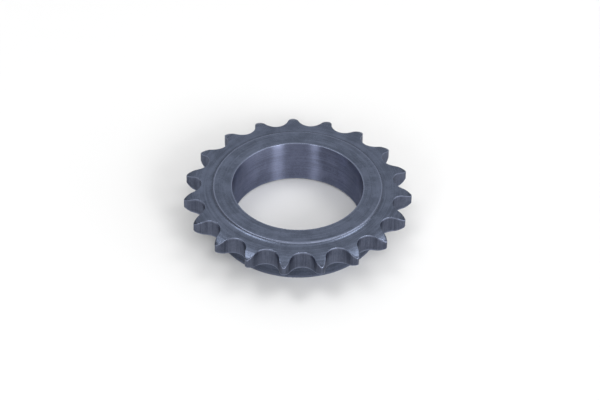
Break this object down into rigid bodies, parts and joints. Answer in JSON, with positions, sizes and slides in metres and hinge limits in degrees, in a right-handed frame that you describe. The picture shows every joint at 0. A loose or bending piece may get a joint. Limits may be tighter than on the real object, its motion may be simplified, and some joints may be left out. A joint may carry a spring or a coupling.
{
  "type": "crankshaft gear",
  "caption": "One-piece steel roller-chain sprocket ring for an engine crankshaft: toothed disc with bevelled sides, low raised hub, longer hub below and a plain bore with a steep lead-in.",
  "frame": {"origin": "on the bore axis, in the mid-plane of the teeth", "axes": "+Z along the bore axis out of the raised face; a tooth gap is centred on -Y"},
  "size_m": [0.0608, 0.0606, 0.0127],
  "materials": {
    "blackened_steel": "satin blue-grey oxide on turned steel"
  },
  "bodies": {
    "root": {"crankshaft_gear": "blackened_steel"}
  },
  "joints": []
}
